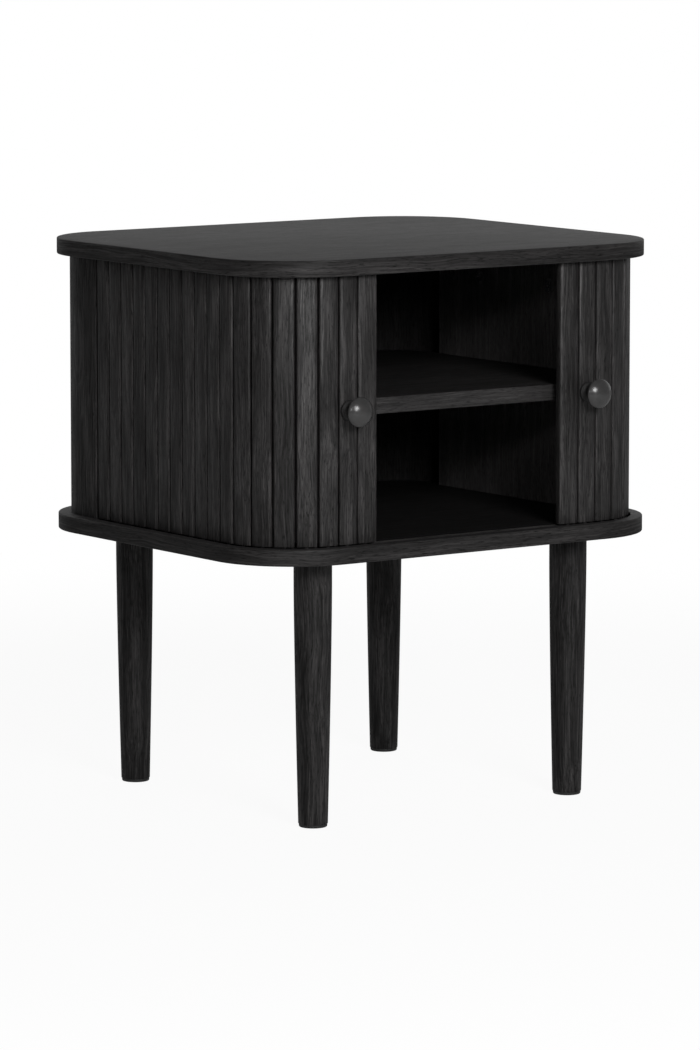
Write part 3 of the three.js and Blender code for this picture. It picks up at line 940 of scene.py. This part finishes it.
# Cam locks and shelf pins in the side panels

cam = {
    "radius": 7.5 * mm,
    "thickness": 12 * mm,
    "drop": 39 * mm,
    "inset": 70 * mm,
    "rim": 1.1 * mm,
    "dish": 0.7 * mm,
    "edge": 0.3 * mm,
    "slot": (1.6 * mm, 7.4 * mm, 3 * mm),  # width, length and depth of the cross
    "sides": 48,
}
pin = {"radius": 2.5 * mm, "length": 18 * mm, "bore": 9 * mm, "inset": 30 * mm, "chamfer": 0.5 * mm, "sides": 32}


def camBody():
    radius, top, edge, lip = cam["radius"], cam["thickness"], cam["edge"], cam["radius"] - cam["rim"]
    body = turn("camBody", [(radius - edge, 0), (radius, edge), (radius, top - edge), (radius - edge, top),
                            (lip, top), (lip - edge, top - cam["dish"])], cam["sides"])
    crossCut(body, *cam["slot"], top)
    smooth(body)
    return body


camBlank = camBody()
pinEnd = ((pin["chamfer"], 0), (0, pin["chamfer"]))
pinProfile = rim(pin["radius"], 0, pinEnd) + rim(pin["radius"], pin["length"], pinEnd[::-1], -1)
pinBlank = turn("pinBlank", pinProfile, pin["sides"])
camZ = topBottom - cam["drop"]
pinZ = middleZ - table["board"] / 2 - pin["radius"] - table["seat"]
for side, sx in sides.items():
    turned = (0, -sx * math.pi / 2, 0)
    for spot, sy in (("front", -1), ("back", 1)):
        place = (sx * (sideInnerX + cam["thickness"]), sy * (cornerY - cam["inset"]) + table["shift"], camZ)
        piece = copyTo(camBlank, f"{side}{spot.title()}Cam", place, turned)
        standFor(piece, f"{side}_{spot}_cam_lock", "zinc_steel", blackZinc)
        place = (sx * (sideInnerX + pin["bore"]), sy * (cornerY - pin["inset"]) + table["shift"], pinZ)
        piece = copyTo(pinBlank, f"{side}{spot.title()}ShelfPin", place, turned)
        standFor(piece, f"{side}_{spot}_shelf_pin", "zinc_steel", zinc)
discard(camBlank, pinBlank)
print("locks and pins made")


# Turned legs, their plates and glides

def legProfile():
    top = table["floorClearance"] - leg["plate"] - 2 * table["seat"]
    taper = top - leg["straight"]
    foot = leg["glide"] + table["seat"]
    points = [(leg["footRadius"] - leg["chamfer"], foot),
              (leg["footRadius"] - leg["chamfer"] / 4, foot + leg["chamfer"] / 3)]
    for step in range(leg["rings"] + 1):
        z = foot + leg["chamfer"] + (taper - foot - leg["chamfer"]) * step / leg["rings"]
        share = max(1 - z / taper, 0) ** leg["taperPower"]
        points.append((leg["topRadius"] - (leg["topRadius"] - leg["footRadius"]) * share, z))
    studEnd = top + leg["studLength"]
    return points + [(leg["topRadius"], top - leg["topEdge"]), (leg["topRadius"] - leg["topEdge"], top),
                     (leg["studRadius"], top), (leg["studRadius"], studEnd - leg["studEdge"]),
                     (leg["studRadius"] - leg["studEdge"], studEnd)]


def legPlate():
    top = table["floorClearance"] - table["seat"]
    bottom = top - leg["plate"]
    radius, lowRim, topRim = leg["plateRadius"], leg["plateRim"], leg["plateTopRim"]
    plate = turn("plate", [(radius - lowRim, bottom), (radius, bottom + lowRim),
                           (radius, top - topRim), (radius - topRim, top)])
    cut(plate, addRod(leg["studRadius"] + boreClear, 3 * leg["plate"], (0, 0, bottom)))
    smooth(plate)
    return plate


legBody = turn("legBody", legProfile(), leg["sides"])
plateBody = legPlate()
glideProfile = rim(leg["glideRadius"], 0, leg["glideRim"]) + [(leg["glideRadius"], leg["glide"])]
glideBody = turn("glideBody", glideProfile, leg["glideSides"])
legParts = (
    (legBody, "leg", "black_oak_legs", oakLeg),
    (plateBody, "leg_plate", "black_steel", powder),
    (glideBody, "glide", "grey_plastic", plastic),
)
for spot, (sideX, sideY) in legSpots.items():
    for blank, part, slotName, material in legParts:
        piece = copyTo(blank, f"{spot}_{part}_piece", (sideX * legX, sideY * legY + table["shift"], 0))
        standFor(piece, f"{spot}_{part}", slotName, material)
discard(legBody, plateBody, glideBody)
print("legs made")


# Nodes whose plain shape is right keep it

# the side panels, and every node not listed, take the paler inside oak with its painted light
plainNodes = {
    "left_side_panel": oakInsidePaintedLight,
    "right_side_panel": oakInsidePaintedLight,
    "back_panel": oakBack,
}
for name, node in nodes.items():
    material = plainNodes.get(name, oakInsidePaintedLight)
    node.data.materials.clear()
    node.data.materials.append(material)


# Floor, lamps and white surroundings

stageSetup = {
    "floorSize": 60,
    "floor": "#f2f2f2",
    "near": 0.8,  # up to here the floor keeps the shadow, and from the far distance on it is plain white
    "far": 1.8,
    "shadowShare": 0.06,
    "room": 0.08,  # brightness of the dim room in front
    "backdrop": 0.69,  # and of the white backdrop behind the table
    "backdropSide": (0.58, 0.81, 0),
    "backdropEdge": (0.3, 0.8),
    "aimHeight": 0.35,
    "lamps": {
        # place, size across and watts
        "front": ((-0.75, -3.0, 1.48), 1.1, 69),
        "side": ((-2.24, -2.32, 1.2), 0.22, 7),
        "rim": ((2.15, 1.2, 2.0), 0.25, 2),
    },
}


def floorMaterial():
    material, tree, shader = newMaterial("paper_floor")
    shader.inputs["Base Color"].default_value = colour(stageSetup["floor"])
    shader.inputs["Roughness"].default_value = 0.9
    shader.inputs["Specular IOR Level"].default_value = 0.1
    place = addNode(tree, "TexCoord").outputs["Object"]
    reach = addNode(tree, "VectorMath", {0: place}, operation="LENGTH").outputs["Value"]
    share = addNode(tree, "MapRange", {"Value": reach, "From Min": stageSetup["near"], "From Max": stageSetup["far"],
                                       "To Min": 1 - stageSetup["shadowShare"]},
                    interpolation_type="SMOOTHSTEP").outputs[0]
    seen = addNode(tree, "LightPath").outputs["Is Camera Ray"]
    share = addNode(tree, "Math", {0: share, 1: seen}, operation="MULTIPLY").outputs[0]
    white = addNode(tree, "Emission", {"Color": (1, 1, 1, 1), "Strength": 1})
    mix = addNode(tree, "MixShader", {0: share, 1: shader.outputs[0], 2: white.outputs[0]})
    tree.links.new(mix.outputs[0], tree.nodes["Material Output"].inputs["Surface"])
    return material


def addStage():
    deselect()
    bpy.ops.mesh.primitive_plane_add(size=stageSetup["floorSize"])
    floor = bpy.context.object
    floor.name = "floor"
    floor.data.materials.append(floorMaterial())
    floor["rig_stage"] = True

    world = bpy.data.worlds.new("studio")
    bpy.context.scene.world = world
    world.use_nodes = True
    tree = world.node_tree
    tree.nodes.clear()
    seen = addNode(tree, "LightPath").outputs["Is Camera Ray"]
    towards = addNode(tree, "TexCoord").outputs["Generated"]
    facing = addNode(tree, "VectorMath", {0: towards, 1: stageSetup["backdropSide"]},
                     operation="DOT_PRODUCT").outputs["Value"]
    start, end = stageSetup["backdropEdge"]
    glow = addNode(tree, "MapRange", {"Value": facing, "From Min": start, "From Max": end,
                                      "To Min": stageSetup["room"], "To Max": stageSetup["backdrop"]},
                   interpolation_type="SMOOTHSTEP").outputs[0]
    ambient = addNode(tree, "Background", {"Color": (1, 1, 1, 1), "Strength": glow})
    white = addNode(tree, "Background", {"Color": (1, 1, 1, 1), "Strength": 1})
    mix = addNode(tree, "MixShader", {0: seen, 1: ambient.outputs[0], 2: white.outputs[0]})
    addNode(tree, "OutputWorld", {"Surface": mix.outputs[0]})

    for name, (place, size, watts) in stageSetup["lamps"].items():
        data = bpy.data.lights.new(name, "AREA")
        data.shape = "DISK"
        data.size = size
        data.energy = watts
        lamp = bpy.data.objects.new(name, data)
        bpy.context.scene.collection.objects.link(lamp)
        lamp.location = place
        aim = lamp.location.copy()
        aim.z -= stageSetup["aimHeight"]
        lamp.rotation_euler = aim.to_track_quat("Z", "Y").to_euler()


addStage()
bpy.context.scene.view_settings.view_transform = "Standard"
print("stage made")

low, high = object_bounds()
